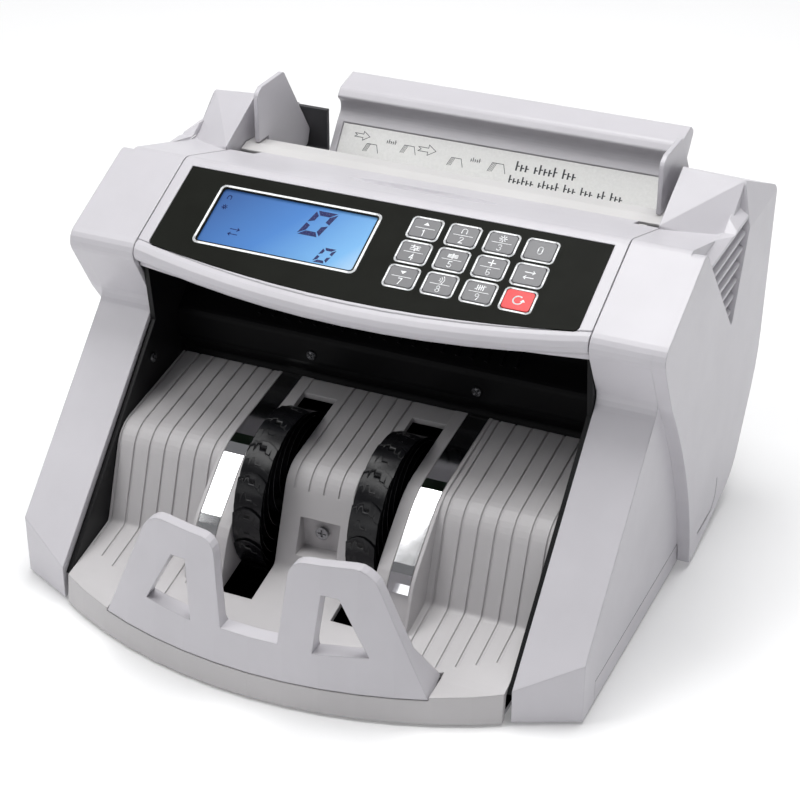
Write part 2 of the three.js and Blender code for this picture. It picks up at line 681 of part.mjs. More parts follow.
// Sloping plate that the notes lean on, with the rounded hood that finishes its top edge.
function hopperBack() {
  const back = [3 * Math.sin(PLATE_SLOPE), -3 * Math.cos(PLATE_SLOPE)];
  const low = alongPlate(72);
  const profile = outline([
    low, [low[0] + back[0], low[1] + back[1]], [131, 140.8], [139.5, 140.8, 2],
    [151.6, 156.6, 1.6], [146.5, 160.6, 1.6], [131, 157.6, 4], [127.6, 153.6, 1], [131.6, 149.6, 5],
    [131, 145.4, 4], [PLATE_TOP.y, PLATE_TOP.z],
  ]);
  const face = [alongPlate(0.8), alongPlate(28.5)].map(([y, z]) => new THREE.Vector2(y, z));
  const recess = prismX(sheet(offsetPath(face, -1), 1.8), -HOOD_HALF + 3.5, HOOD_HALF - 3.5);
  const rollerRoom = box([24, 46], [60, 115], [60, 108]);
  return prismX(profile.reverse(), -HOOD_HALF, HOOD_HALF).subtract(recess).subtract(bothSides(rollerRoom));
}

place('hopper_back', hopperBack(), CASE);

function hopperLabel() {
  const face = [alongPlate(1.3), alongPlate(28)].map(([y, z]) => new THREE.Vector2(y, z));
  const inset = offsetPath(face, 0.1);
  return prismX(sheet(inset, 0.4), -HOOD_HALF + 4, HOOD_HALF - 4);
}

place('hopper_label', hopperLabel(), PAPER);

// A note guide: a flat fin that slides on the rail behind the lip.
function noteGuide() {
  const fin = outline([
    [62.3, 152], [62.3, 176.5, 4], [67, 178.6, 2], [89.6, 178.6, 2.5], [116.2, 138.8, 2.5],
    [113.6, 131.5, 3], [75, 128], [72.2, 128], [72.2, 152],
  ]);
  const foot = box([GUIDE.x - 4, GUIDE.x + 4], [57, 74], [138.8, 147.2]);
  const half = GUIDE.thick / 2;
  return prismX(fin, GUIDE.x - half, GUIDE.x + half)
    .add(foot)
    .subtract(rodX(90, 112, RAIL.y, RAIL.z, RAIL.r + GAP));
}

place('guide_right', noteGuide(), CASE);
place('guide_left', mirrored(noteGuide()), CASE);
place('guide_rail', rodX(-105.3, 105.3, RAIL.y, RAIL.z, RAIL.r, 16), STEEL);

// ---------------------------------------------------------------- rear panel, inlet and switch

const INLET = { x: -62, z: 75.5 };
const SWITCH = { x: -92, z: 75.5 };
const ROCKER_THROW = THREE.MathUtils.degToRad(8); // resting position, thrown to one side

function rearPanel() {
  const path = outline([
    [119.3, 150], [119.3, 128.5, 1], [REAR_PANEL_Y, 122, 1], [REAR_PANEL_Y, 58, 12], [83, 16.6, 25],
    [64.5, 12.6],
  ], false);
  const wall = prismX(sheet(path, -WALL).reverse(), -HEAD_SIDE, HEAD_SIDE);
  const plateRoom = box([-90.4, 90.4], [100, 130], [113.4, 160]);
  const inletHole = box([INLET.x - 13.8, INLET.x + 13.8], [100, 120], [INLET.z - 10, INLET.z + 10]);
  const switchHole = box([SWITCH.x - 7.3, SWITCH.x + 7.3], [100, 120], [SWITCH.z - 10.8, SWITCH.z + 10.8]);
  let panel = wall.subtract(plateRoom).subtract(inletHole).subtract(switchHole);
  for (let i = 0; i < 12; i += 1) {
    const x = 14 + i * 6.6;
    panel = panel.subtract(box([x, x + 3], [60, 130], [74, 100]));
  }
  return panel;
}

place('rear_panel', rearPanel(), DARK);

function powerInlet() {
  const face = REAR_PANEL_Y + GAP;
  const flange = box([INLET.x - 16, INLET.x + 16], [face, face + 2.2], [INLET.z - 12.5, INLET.z + 12.5]);
  const body = box([INLET.x - 13.3, INLET.x + 13.3], [face - 18, face + 1], [INLET.z - 9.6, INLET.z + 9.6]);
  const mouth = prismY(outline([
    [INLET.x - 11.5, INLET.z - 7.5], [INLET.x + 11.5, INLET.z - 7.5], [INLET.x + 11.5, INLET.z + 4],
    [INLET.x + 7.5, INLET.z + 7.5], [INLET.x - 7.5, INLET.z + 7.5], [INLET.x - 11.5, INLET.z + 4],
  ]), face - 15, face + 5);
  const pins = [[-7, -1.5], [7, -1.5], [0, 2.5]].map(([x, z]) => box(
    [INLET.x + x - 1, INLET.x + x + 1], [face - 16, face - 5], [INLET.z + z - 2, INLET.z + z + 2]));
  return joined(flange, body).subtract(mouth).add(joined(...pins));
}

place('power_inlet', powerInlet(), BLACK);

function switchFrame() {
  const face = REAR_PANEL_Y + GAP;
  const block = (halfX, halfZ, y0, y1) => (
    box([SWITCH.x - halfX, SWITCH.x + halfX], [face + y0, face + y1], [SWITCH.z - halfZ, SWITCH.z + halfZ])
  );
  return joined(block(9.3, 12.8, 0, 1.8), block(6.8, 10.3, -14, 1)).subtract(block(5.6, 9.1, -9, 5));
}

place('switch_frame', switchFrame(), BLACK);

function rocker() {
  const face = REAR_PANEL_Y + GAP;
  const profile = outline([
    [0.5, -7.2], [6.7, -7.6, 1], [4.7, 0, 6], [6.7, 7.6, 1], [0.5, 7.2], [-3.5, 0, 3],
  ]);
  const pivot = new THREE.Vector2(face - 2.5, SWITCH.z);
  const thrown = profile.map((point) => point.rotateAround(new THREE.Vector2(), ROCKER_THROW).add(pivot));
  return prismX(thrown, SWITCH.x - 5.2, SWITCH.x + 5.2);
}

place('rocker_switch', rocker(), BLACK);

// ---------------------------------------------------------------- rotating parts

// A soft wheel of thin blades that trail as it turns.
function impeller() {
  const hub = rodX(-IMPELLER.width / 2, IMPELLER.width / 2, 0, 0, IMPELLER.hub, 28);
  const blades = [];
  for (let i = 0; i < IMPELLER.blades; i += 1) {
    const phase = (2 * Math.PI * i) / IMPELLER.blades;
    const path = [];
    for (let k = 0; k <= 4; k += 1) {
      const r = IMPELLER.hub - 1.5 + ((IMPELLER.r - IMPELLER.hub + 1.2) * k) / 4;
      const angle = phase - 0.75 * ((r - IMPELLER.hub) / (IMPELLER.r - IMPELLER.hub)) ** 1.5;
      const bend = Number.isNaN(angle) ? phase : angle;
      path.push(new THREE.Vector2(r * Math.cos(bend), r * Math.sin(bend)));
    }
    blades.push(prismX(sheet(path, 1.3), -IMPELLER.width / 2, IMPELLER.width / 2));
  }
  return joined(hub, ...blades);
}

function moved(manifold, x, y, z) {
  return solid(geometryOf(manifold).translate(x, y, z));
}

function wheelOnShaft(outer, x0, x1, at) {
  return rodX(x0, x1, at.y, at.z, outer, 24).subtract(rodX(x0 - 1, x1 + 1, at.y, at.z, SHAFT_R + GAP));
}

function pulley(radius, [x0, x1], at) {
  return wheelOnShaft(radius, x0, x1, at).add(wheelOnShaft(radius + 2.4, x1, x1 + 0.9, at));
}

const bareImpeller = impeller().subtract(rodX(-20, 20, 0, 0, SHAFT_R + GAP));
place('impeller_right', moved(bareImpeller, IMPELLER.x, IMPELLER.y, IMPELLER.z), RUBBER);
place('impeller_left', moved(bareImpeller, -IMPELLER.x, IMPELLER.y, IMPELLER.z), RUBBER);
place('impeller_shaft', rodX(-109, 116, IMPELLER.y, IMPELLER.z, SHAFT_R), STEEL);
place('impeller_pulley', pulley(IMPELLER_PULLEY, STACKER_BELT_X, IMPELLER), BLACK);

// The feed shaft is turned in one piece with the small pulley that drives the pickup rollers.
place('feed_shaft', rodX(-115.4, 119.4, DRUM.y, DRUM.z, SHAFT_R)
  .add(rodX(...PICKUP_BELT_X, DRUM.y, DRUM.z, PICKUP.pulley, 28)), STEEL);
place('feed_pulley', pulley(DRUM.pulley, DRIVE_BELT_X, DRUM), BLACK);
place('feed_roller_right', wheelOnShaft(DRUM.r, 24, 46, DRUM), RUBBER);
place('feed_roller_left', wheelOnShaft(DRUM.r, -46, -24, DRUM), RUBBER);

place('pickup_shaft', rodX(-115.4, 109, PICKUP.y, PICKUP.z, SHAFT_R), STEEL);
place('pickup_roller_right', wheelOnShaft(PICKUP.r, 26, 44, PICKUP), RUBBER);
place('pickup_roller_left', wheelOnShaft(PICKUP.r, -44, -26, PICKUP), RUBBER);
place('pickup_pulley', wheelOnShaft(PICKUP.pulley, PICKUP_BELT_X[0], PICKUP_BELT_X[1], PICKUP), BLACK);

// ---------------------------------------------------------------- motor, transformer, board, belts

function motor() {
  const can = rodX(30, 88, MOTOR.y, MOTOR.z, MOTOR.r, 32);
  const ends = joined(rodX(26, 30.5, MOTOR.y, MOTOR.z, 12), rodX(87.5, 92, MOTOR.y, MOTOR.z, 9));
  const saddle = box([34, 84], [MOTOR.y - 15, MOTOR.y + 13], [4.6, MOTOR.z]);
  return joined(can, ends, saddle).subtract(rodX(80, 95, MOTOR.y, MOTOR.z, SHAFT_R + GAP));
}

place('motor', motor(), STEEL);
place('motor_pulley', rodX(82, 119.4, MOTOR.y, MOTOR.z, SHAFT_R)
  .add(rodX(STACKER_BELT_X[0], DRIVE_BELT_X[1] + 1, MOTOR.y, MOTOR.z, MOTOR.pulley, 28)), STEEL);

// A belt's outline around two pulleys, clear of them by the gap.
function beltOutline(a, ra, b, rb) {
  const from = new THREE.Vector2(a.y, a.z);
  const line = new THREE.Vector2(b.y, b.z).sub(from);
  const heading = line.angle();
  const lean = Math.acos((ra - rb) / line.length());
  const arc = (centre, radius, start, sweep) => {
    const points = [];
    for (let k = 0; k <= 10; k += 1) {
      const angle = start + (sweep * k) / 10;
      points.push(new THREE.Vector2(radius, 0).rotateAround(new THREE.Vector2(), angle)
        .add(new THREE.Vector2(centre.y, centre.z)));
    }
    return points;
  };
  return [
    ...arc(a, ra, heading + lean, 2 * (Math.PI - lean)), ...arc(b, rb, heading - lean, 2 * lean),
  ];
}

function belt(a, ra, b, rb, [x0, x1]) {
  const inner = beltOutline(a, ra + GAP, b, rb + GAP);
  const outer = beltOutline(a, ra + GAP + 1.5, b, rb + GAP + 1.5);
  return prismX(outer, x0 + 0.2, x1 - 0.2, [inner]);
}

place('stacker_belt', belt(MOTOR, MOTOR.pulley, IMPELLER, IMPELLER_PULLEY, STACKER_BELT_X), RUBBER);
place('drive_belt', belt(MOTOR, MOTOR.pulley, DRUM, DRUM.pulley, DRIVE_BELT_X), RUBBER);
place('pickup_belt', belt(DRUM, PICKUP.pulley, PICKUP, PICKUP.pulley, PICKUP_BELT_X), RUBBER);

function transformer() {
  const core = box([-98, -50], [-11, 22], [4.6, 46]);
  const winding = box([-92, -56], [-16, 27], [14, 37]);
  return joined(core, winding);
}

place('transformer', transformer(), COPPER);

function mainBoard() {
  const board = box([-44, 20], [-14, 40], [8, 9.6]);
  const chips = [
    box([-38, -22], [-6, 10], [9, 12.4]), box([-10, 10], [18, 32], [9, 17]),
    box([-34, -26], [22, 36], [9, 20]), box([-4, 14], [-10, 0], [9, 14]),
  ];
  const post = joined(box([-42, -38], [14, 18], [4.3, 9]), box([14, 18], [-12, -8], [4.3, 9]));
  return joined(board, ...chips, post);
}

place('main_board', mainBoard(), BOARD);

export default machine;
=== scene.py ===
"""The banknote counting machine's visible model: finishes, printed marks and soft wheels."""

import json
import math

import bpy
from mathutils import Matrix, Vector


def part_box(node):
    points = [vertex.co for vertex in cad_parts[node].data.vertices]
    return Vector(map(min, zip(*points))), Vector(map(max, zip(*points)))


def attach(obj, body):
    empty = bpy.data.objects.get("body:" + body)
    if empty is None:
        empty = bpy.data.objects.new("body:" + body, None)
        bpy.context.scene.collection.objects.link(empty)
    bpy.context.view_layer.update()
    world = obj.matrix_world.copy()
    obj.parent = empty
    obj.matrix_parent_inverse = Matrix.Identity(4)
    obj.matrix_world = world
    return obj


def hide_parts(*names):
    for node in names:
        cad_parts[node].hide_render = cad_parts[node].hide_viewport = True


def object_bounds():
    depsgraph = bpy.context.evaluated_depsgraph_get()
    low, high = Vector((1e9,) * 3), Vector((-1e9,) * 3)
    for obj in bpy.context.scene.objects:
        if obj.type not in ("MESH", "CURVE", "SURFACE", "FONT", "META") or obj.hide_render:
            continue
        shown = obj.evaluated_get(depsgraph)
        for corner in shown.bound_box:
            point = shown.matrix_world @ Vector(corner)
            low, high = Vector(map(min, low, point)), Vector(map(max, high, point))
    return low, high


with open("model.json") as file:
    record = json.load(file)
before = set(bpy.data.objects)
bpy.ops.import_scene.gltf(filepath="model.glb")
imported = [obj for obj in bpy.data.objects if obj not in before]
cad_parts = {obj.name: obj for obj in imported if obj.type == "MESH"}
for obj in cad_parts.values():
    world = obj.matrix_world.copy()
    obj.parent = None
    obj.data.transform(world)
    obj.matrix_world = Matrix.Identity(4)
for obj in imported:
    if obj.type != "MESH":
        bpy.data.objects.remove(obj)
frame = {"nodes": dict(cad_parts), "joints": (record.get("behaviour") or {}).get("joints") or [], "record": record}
CAD_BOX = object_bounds()
NODES = frame["nodes"]
JOINTS = {joint["name"]: joint for joint in frame["joints"]}

MM = 0.001
KEY_NODES = sorted(name for name in NODES if name.startswith("key_"))
CAP_HEIGHT = 5.45 * MM  # key cap, from its underside to its face
CAP_PROUD = 0.25 * MM  # key face above the panel's film
INK = 0.03 * MM  # printed marks stand this far off their surface
KEY_FRAME = (14.0 * MM, 11.7 * MM, 1.9 * MM)  # width, height and corner radius of the line round a key
WINDOW_FACE = 1.925 * MM  # display window's face, from the middle of its box
FILM_FACE = 3.075 * MM  # face of the panel's film, from the same middle


# ------------------------------------------------------------------ node helpers


class Surface:
    """One procedural material, with short calls for the nodes that it needs."""

    def __init__(self, name):
        self.material = bpy.data.materials.new(name)
        self.material.use_nodes = True
        self.tree = self.material.node_tree
        self.shader = self.tree.nodes["Principled BSDF"]
        self.coordinates = self.tree.nodes.new("ShaderNodeTexCoord").outputs["Object"]

    def set(self, **values):
        for socket, value in values.items():
            self.shader.inputs[socket.replace("_", " ")].default_value = value

    def link(self, output, socket):
        self.tree.links.new(output, socket)

    def feed(self, **outputs):
        for socket, output in outputs.items():
            self.link(output, self.shader.inputs[socket.replace("_", " ")])

    def scaled(self, scale):
        mapping = self.tree.nodes.new("ShaderNodeMapping")
        mapping.inputs["Scale"].default_value = scale
        self.link(self.coordinates, mapping.inputs["Vector"])
        return mapping.outputs["Vector"]

    def noise(self, scale, detail=3.0, roughness=0.55, vector=None):
        node = self.tree.nodes.new("ShaderNodeTexNoise")
        node.inputs["Scale"].default_value = scale
        node.inputs["Detail"].default_value = detail
        node.inputs["Roughness"].default_value = roughness
        self.link(vector or self.coordinates, node.inputs["Vector"])
        return node.outputs["Fac"]

    def ramp(self, factor, stops):
        node = self.tree.nodes.new("ShaderNodeValToRGB")
        elements = node.color_ramp.elements
        while len(elements) < len(stops):
            elements.new(0.5)
        for element, (position, colour) in zip(elements, stops):
            element.position = position
            element.color = (*colour, 1.0) if len(colour) == 3 else colour
        self.link(factor, node.inputs["Fac"])
        return node.outputs["Color"]

    def spread(self, factor, low, high):
        node = self.tree.nodes.new("ShaderNodeMapRange")
        node.inputs["To Min"].default_value = low
        node.inputs["To Max"].default_value = high
        self.link(factor, node.inputs["Value"])
        return node.outputs["Result"]

    def bump(self, height, distance, strength=1.0, normal=None):
        node = self.tree.nodes.new("ShaderNodeBump")
        node.inputs["Distance"].default_value = distance
        node.inputs["Strength"].default_value = strength
        self.link(height, node.inputs["Height"])
        if normal:
            self.link(normal, node.inputs["Normal"])
        return node.outputs["Normal"]

    def rounded_edges(self, radius):
        node = self.tree.nodes.new("ShaderNodeBevel")
        node.samples = 6
        node.inputs["Radius"].default_value = radius
        return node.outputs["Normal"]


def shade(colour, factor):
    return tuple(min(1.0, channel * factor) for channel in colour)


def moulded(name, colour, roughness, grain=0.012, edge=0.5, variation=0.03, gloss=0.5):
    """Injection-moulded plastic: spark texture, faint flow marks, softly rounded edges."""
    surface = Surface(name)
    flow = surface.noise(26.0, 4.0)
    tones = [(0.3, shade(colour, 1 - variation)), (0.7, shade(colour, 1 + variation))]
    surface.feed(Base_Color=surface.ramp(flow, tones))
    smudges = surface.noise(90.0, 5.0, 0.6)
    surface.feed(Roughness=surface.spread(smudges, roughness - 0.06, roughness + 0.08))
    rounded = surface.rounded_edges(edge * MM)
    spark = surface.noise(2600.0, 2.0, 0.7)
    surface.feed(Normal=surface.bump(spark, grain * MM, 0.6, rounded))
    surface.set(Specular_IOR_Level=gloss)
    return surface.material


def soft_rubber(name, colour, roughness):
    """Black rubber with a dull bloom in patches and a fine pitted skin."""
    surface = Surface(name)
    bloom = surface.noise(60.0, 5.0, 0.6)
    surface.feed(Base_Color=surface.ramp(bloom, [(0.35, colour), (0.75, shade(colour, 2.2))]))
    surface.feed(Roughness=surface.spread(bloom, roughness - 0.1, roughness + 0.15))
    pits = surface.noise(900.0, 3.0)
    surface.feed(Normal=surface.bump(pits, 0.04 * MM, 0.5))
    return surface.material


def polished_strip(name):
    """Bright plated strip with rolling lines along its length and a few handling smears."""
    surface = Surface(name)
    surface.set(Base_Color=(0.86, 0.86, 0.87, 1), Metallic=1.0)
    smears = surface.noise(70.0, 6.0, 0.65)
    surface.feed(Roughness=surface.spread(smears, 0.02, 0.13))
    rolling = surface.noise(1.0, 2.0, vector=surface.scaled((2400.0, 12.0, 12.0)))
    surface.feed(Normal=surface.bump(rolling, 0.004 * MM, 0.35))
    return surface.material


def turned_steel(name, colour=(0.55, 0.56, 0.58), roughness=0.28):
    surface = Surface(name)
    surface.set(Metallic=1.0)
    tone = surface.noise(45.0, 5.0)
    surface.feed(Base_Color=surface.ramp(tone, [(0.3, shade(colour, 0.85)), (0.7, colour)]))
    lines = surface.noise(1.0, 3.0, vector=surface.scaled((3200.0, 120.0, 120.0)))
    surface.feed(Roughness=surface.spread(lines, roughness - 0.08, roughness + 0.12))
    surface.feed(Normal=surface.bump(lines, 0.01 * MM, 0.4, surface.rounded_edges(0.3 * MM)))
    return surface.material


def painted_steel(name, colour):
    """Black powder coat: orange peel, paler in random patches, and softly rounded edges."""
    surface = Surface(name)
    peel = surface.noise(1100.0, 2.0)
    tone = surface.noise(30.0, 4.0)
    surface.feed(Base_Color=surface.ramp(tone, [(0.3, colour), (0.75, shade(colour, 1.5))]))
    surface.feed(Roughness=surface.spread(tone, 0.32, 0.5))
    surface.set(Specular_IOR_Level=0.22)
    rounded = surface.rounded_edges(0.3 * MM)
    surface.feed(Normal=surface.bump(peel, 0.03 * MM, 0.5, rounded))
    return surface.material


def panel_film(name):
    """Fine velvet-textured polyester overlay, printed near-black with a green cast."""
    surface = Surface(name)
    tone = surface.noise(40.0, 3.0)
    tones = [(0.3, (0.0075, 0.008, 0.006)), (0.7, (0.0105, 0.0115, 0.009))]
    surface.feed(Base_Color=surface.ramp(tone, tones))
    surface.feed(Roughness=surface.spread(surface.noise(120.0, 4.0), 0.42, 0.54))
    surface.set(Specular_IOR_Level=0.06)
    velvet = surface.noise(5200.0, 1.0)
    surface.feed(Normal=surface.bump(velvet, 0.006 * MM, 0.5))
    return surface.material


def backlit_display(name):
    """Blue backlit liquid crystal, paler towards its lower right corner, under a clear window."""
    surface = Surface(name)
    low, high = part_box("lcd_display")
    split = surface.tree.nodes.new("ShaderNodeSeparateXYZ")
    surface.link(surface.coordinates, split.inputs["Vector"])
    across = surface.tree.nodes.new("ShaderNodeMapRange")
    across.inputs["From Min"].default_value = low.x
    across.inputs["From Max"].default_value = high.x
    surface.link(split.outputs["X"], across.inputs["Value"])
    down = surface.tree.nodes.new("ShaderNodeMapRange")
    down.inputs["From Min"].default_value = high.z
    down.inputs["From Max"].default_value = low.z
    surface.link(split.outputs["Z"], down.inputs["Value"])
    mixed = surface.tree.nodes.new("ShaderNodeMath")
    mixed.operation = "MULTIPLY_ADD"
    mixed.inputs[1].default_value = 0.72
    surface.link(across.outputs["Result"], mixed.inputs[0])
    lower = surface.tree.nodes.new("ShaderNodeMath")
    lower.operation = "MULTIPLY"
    lower.inputs[1].default_value = 0.28
    surface.link(down.outputs["Result"], lower.inputs[0])
    surface.link(lower.outputs["Value"], mixed.inputs[2])
    glow = surface.ramp(mixed.outputs["Value"], [
        (0.05, (0.036, 0.09, 0.245)), (0.45, (0.06, 0.17, 0.42)), (0.8, (0.15, 0.34, 0.58)),
        (1.0, (0.42, 0.55, 0.66)),
    ])
    surface.feed(Base_Color=glow)
    surface.feed(Emission_Color=glow)
    surface.set(Emission_Strength=0.42, Coat_Weight=0.5, Coat_Roughness=0.08)
    surface.feed(Roughness=surface.spread(surface.noise(150.0, 4.0), 0.12, 0.2))
    return surface.material


def ink(name, colour, roughness=0.45):
    """Screen-printed ink, slightly uneven in density."""
    surface = Surface(name)
    density = surface.noise(1400.0, 3.0)
    surface.feed(Base_Color=surface.ramp(density, [(0.25, shade(colour, 0.86)), (0.6, colour)]))
    surface.feed(Roughness=surface.spread(density, roughness - 0.08, roughness + 0.1))
    return surface.material


def laminated_paper(name):
    surface = Surface(name)
    fibre = surface.noise(700.0, 5.0, 0.7)
    surface.feed(Base_Color=surface.ramp(fibre, [(0.3, (0.80, 0.80, 0.78)), (0.7, (0.88, 0.88, 0.86))]))
    surface.feed(Normal=surface.bump(fibre, 0.01 * MM, 0.3))
    surface.feed(Roughness=surface.spread(surface.noise(50.0), 0.3, 0.45))
    return surface.material


def circuit_board(name):
    """Green lacquer over a maze of copper tracks, darkened almost to black: painted shade for the machine's dark
    inside.
    """
    surface = Surface(name)
    tracks = surface.tree.nodes.new("ShaderNodeTexBrick")
    tracks.inputs["Scale"].default_value = 120.0
    tracks.inputs["Color1"].default_value = (0.004, 0.026, 0.012, 1)
    tracks.inputs["Color2"].default_value = (0.006, 0.036, 0.017, 1)
    tracks.inputs["Mortar"].default_value = (0.02, 0.05, 0.015, 1)
    tracks.inputs["Mortar Size"].default_value = 0.06
    surface.link(surface.coordinates, tracks.inputs["Vector"])
    surface.feed(Base_Color=tracks.outputs["Color"])
    surface.feed(Normal=surface.bump(tracks.outputs["Fac"], 0.05 * MM, 0.5))
    surface.set(Roughness=0.3)
    return surface.material


def laminated_core(name):
    """Varnished stack of steel laminations."""
    surface = Surface(name)
    leaves = surface.noise(1.0, 1.0, vector=surface.scaled((20.0, 2600.0, 20.0)))
    tones = [(0.35, (0.10, 0.07, 0.045)), (0.65, (0.24, 0.2, 0.16))]
    surface.feed(Base_Color=surface.ramp(leaves, tones))
    surface.feed(Normal=surface.bump(leaves, 0.08 * MM, 0.8))
    surface.set(Metallic=0.5, Roughness=0.45)
    return surface.material


CASE_COLOUR = (0.585, 0.57, 0.60)
WHITE_INK = ink("white_ink", (0.93, 0.94, 0.95))
DARK_INK = ink("dark_ink", (0.035, 0.037, 0.045))
SEGMENT_INK = ink("display_segments", (0.005, 0.011, 0.1), 0.25)
FINISHES = {
    "case": moulded("case_plastic", CASE_COLOUR, 0.36, grain=0.02, edge=0.8),
    "deck": moulded("deck_plastic", (0.52, 0.505, 0.51), 0.42, grain=0.02, edge=0.7),
    "key_grey": moulded("key_plastic", (0.165, 0.165, 0.172), 0.38, edge=0.5),
    "key_red": moulded("key_plastic_red", (0.72, 0.012, 0.014), 0.34, edge=0.5),
    "rubber": soft_rubber("black_rubber", (0.010, 0.010, 0.011), 0.55),
    "bright_strip": polished_strip("plated_strip"),
    "black_steel": painted_steel("black_powder_coat", (0.0045, 0.0045, 0.005)),
    "black_plastic": moulded("black_plastic", (0.003, 0.003, 0.0034), 0.4, 0.008, 0.3, 0.2, gloss=0.08),
    "dark_plastic": moulded("rear_plastic", (0.052, 0.052, 0.056), 0.42, grain=0.03, edge=0.5),
    "pale_plastic": moulded("lip_plastic", (0.60, 0.59, 0.585), 0.34, edge=0.6),
    "label_paper": laminated_paper("label_film"),
    "overlay": panel_film("panel_film"),
    "display_glass": backlit_display("display_window"),
    "circuit_board": circuit_board("circuit_board"),
    "laminated_steel": laminated_core("laminated_core"),
    "steel": turned_steel("turned_steel", (0.32, 0.32, 0.335)),
}
# Screw steel darkened well below the turned steel: painted shade, for screws that sit in shadow.
SCREW_STEEL_PAINTED_SHADE = turned_steel("screw_steel_painted_shade", (0.11, 0.11, 0.115), 0.34)
BLADE_RUBBER = moulded("impeller_rubber", (0.004, 0.004, 0.005), 0.24, 0.004, 0.15, 0.25, gloss=0.32)


# ------------------------------------------------------------------ CAD nodes


def finish_cad_nodes():
    slots = {entry["node"]: entry["material_slot"] for entry in frame["record"]["subparts"]}
    for name, node in NODES.items():
        node.data.materials.clear()
        node.data.materials.append(FINISHES[slots[name]])
    paint_pan_floor_shade(NODES["base_pan"])


def paint_pan_floor_shade(node):
    """The upward faces of the base pan are painted black: painted shade for the dark inside of the machine."""
    node.data.materials.append(FINISHES["black_plastic"])
    for face in node.data.polygons:
        face.material_index = int(face.normal.z > 0.6)


def smooth_by_angle(mesh, degrees=32):
    """Curved stretches shade smoothly and real corners stay crisp."""
    mesh.polygons.foreach_set("use_smooth", [True] * len(mesh.polygons))
    mesh.set_sharp_from_angle(angle=math.radians(degrees))


# ------------------------------------------------------------------ printed marks


class Sheet:
    """A flat face to print on: an origin, its right and up directions, and its normal."""

    def __init__(self, origin, right, up):
        self.origin = Vector(origin)
        self.right = Vector(right).normalized()
        self.up = Vector(up).normalized()
        self.normal = self.right.cross(self.up)

    def at(self, x, y, lift=INK):
        return self.origin + self.right * x + self.up * y + self.normal * lift


def mesh_piece(name, vertices, faces, material, body):
    mesh = bpy.data.meshes.new(name)
    mesh.from_pydata(vertices, [], faces)
    mesh.materials.append(material)
    mesh.update()
    piece = bpy.data.objects.new(name, mesh)
    bpy.context.scene.collection.objects.link(piece)
    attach(piece, body)
    return piece


def filled(shapes, sheet, lift=INK):
    """Vertices and faces of convex polygons printed on a sheet."""
    vertices = []
    faces = []
    for shape in shapes:
        faces.append(tuple(range(len(vertices), len(vertices) + len(shape))))
        vertices += [sheet.at(x, y, lift) for x, y in shape]
    return vertices, faces


def stroke(points, width, closed=False):
    """Quads along a line of points, mitred a little at each end so that corners close."""
    ends = list(zip(points, points[1:] + points[:1] if closed else points[1:]))
    quads = []
    for (ax, ay), (bx, by) in ends:
        length = math.hypot(bx - ax, by - ay) or 1.0
        ux, uy = (bx - ax) / length * width / 2, (by - ay) / length * width / 2
        quads.append([
            (ax - ux + uy, ay - uy - ux), (bx + ux + uy, by + uy - ux),
            (bx + ux - uy, by + uy + ux), (ax - ux - uy, ay - uy + ux),
        ])
    return quads


def arc(cx, cy, radius, start, end, steps=12):
    angles = [math.radians(start + (end - start) * i / steps) for i in range(steps + 1)]
    return [(cx + radius * math.cos(a), cy + radius * math.sin(a)) for a in angles]


def rounded_rectangle(width, height, radius):
    corners = [(1, 1, 0), (-1, 1, 90), (-1, -1, 180), (1, -1, 270)]
    points = []
    for sx, sy, start in corners:
        points += arc(sx * (width / 2 - radius), sy * (height / 2 - radius), radius, start, start + 90, 5)
    return points


# Strokes of the digits on a 2 wide by 4 high cell.
DIGITS = {
    "0": [rounded_rectangle(2.0, 4.0, 0.95) + [(1.0, 1.05)]],
    "1": [[(-0.6, 1.2), (0.1, 2.0), (0.1, -2.0)]],
    "2": [arc(0, 1.0, 1.0, 160, -30, 8) + [(-1.0, -2.0), (1.0, -2.0)]],
    "3": [arc(-0.1, 1.0, 1.0, 150, -80, 8), arc(-0.1, -1.0, 1.05, 80, -150, 8)],
    "4": [[(0.5, -2.0), (0.5, 2.0), (-1.0, -0.8), (1.1, -0.8)]],
    "5": [[(0.9, 2.0), (-0.8, 2.0), (-0.9, 0.2)] + arc(-0.05, -0.8, 1.15, 120, -150, 9)],
    "6": [arc(0.1, 0.9, 1.1, 60, 170, 6) + [(-1.0, -1.0)], arc(0, -1.0, 1.0, 180, -180, 12)],
    "7": [[(-1.0, 2.0), (1.0, 2.0), (-0.3, -2.0)]],
    "8": [arc(0, 1.05, 0.9, 90, 450, 12), arc(0, -0.95, 1.05, 90, 450, 12)],
    "9": [arc(0, 1.0, 1.0, 0, 360, 12), [(1.0, 1.0), (0.95, -0.6), (0.1, -2.0)]],
}


def digit(symbol, x, y, size, width):
    quads = []
    for line in DIGITS[symbol]:
        quads += stroke([(x + px * size, y + py * size) for px, py in line], width)
    return quads


def triangle(x, y, size, up):
    tip = size if up else -size
    shape = [(x - size, y - tip * 0.5), (x + size, y - tip * 0.5), (x, y + tip * 0.7)]
    return [shape if up else shape[::-1]]


def icon_magnet(w):
    bend = arc(0, 0.2, 0.9, 180, 0, 8)
    legs = [(-0.9, -0.9)] + bend + [(0.9, -0.9)]
    return stroke([(x * MM, y * MM) for x, y in legs], w)


def icon_lamp(w):
    quads = stroke([(x * MM, y * MM) for x, y in arc(0, 0, 0.55, 0, 360, 10)], w)
    for i in range(8):
        a = math.radians(45 * i)
        quads += stroke([(math.cos(a) * r * MM, math.sin(a) * r * MM) for r in (0.95, 1.35)], w * 0.9)
    return quads


def icon_sliders(w):
    quads = []
    for row, knob in ((0.8, -0.7), (0, 0.8), (-0.8, 0.0)):
        quads += stroke([(-1.7 * MM, row * MM), (1.7 * MM, row * MM)], w * 0.8)
        quads += stroke([(knob * MM, (row - 0.35) * MM), (knob * MM, (row + 0.35) * MM)], w * 1.4)
    return quads


